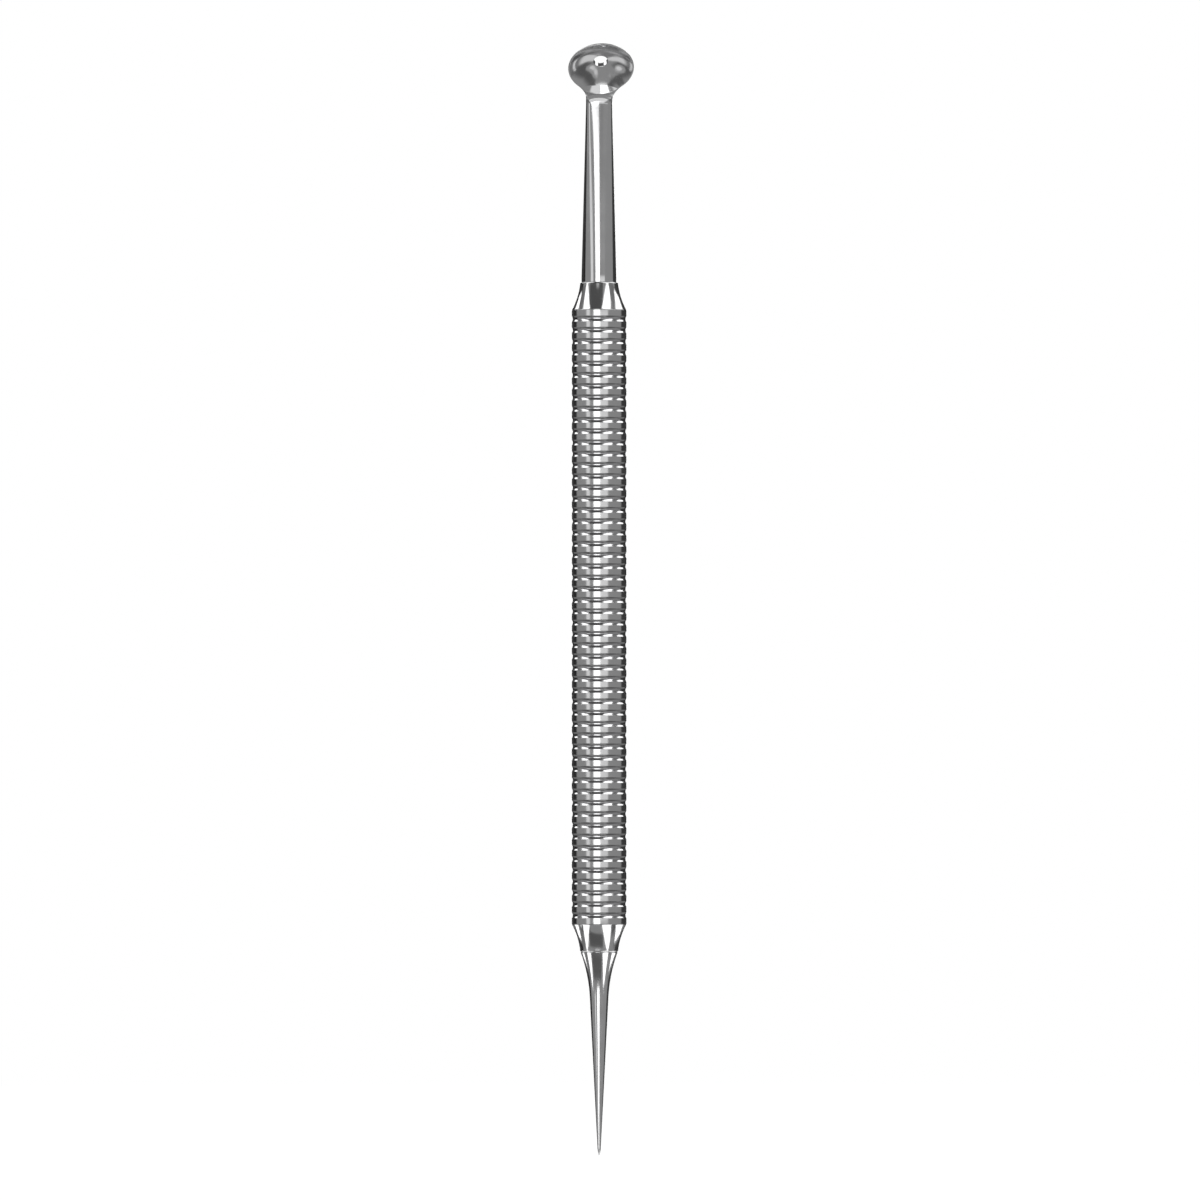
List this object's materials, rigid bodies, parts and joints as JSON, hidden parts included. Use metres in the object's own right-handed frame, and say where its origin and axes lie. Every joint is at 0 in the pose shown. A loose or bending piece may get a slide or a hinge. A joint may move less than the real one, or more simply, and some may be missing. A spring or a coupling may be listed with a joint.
{
  "type": "blackhead extractor",
  "caption": "Slim steel blackhead extractor: ringed hollow grip with a tilted, pierced spoon on a bent neck at one end and a fine lancet needle at the other.",
  "frame": {"origin": "middle of the ringed grip, on the tool's axis", "axes": "+Z along the tool's axis towards the spoon, the bowl opens towards -Y and -Z, +X to the side"},
  "size_m": [0.0072, 0.0094, 0.1211],
  "materials": {
    "grip_steel": "polished, with fine turning lines",
    "ferrule_steel": "polished",
    "tip_steel": "mirror polished"
  },
  "bodies": {
    "root": {"grip_tube": "grip_steel", "spoon_ferrule": "ferrule_steel", "needle_ferrule": "ferrule_steel", "spoon_tip": "tip_steel", "needle_tip": "tip_steel"}
  },
  "joints": []
}
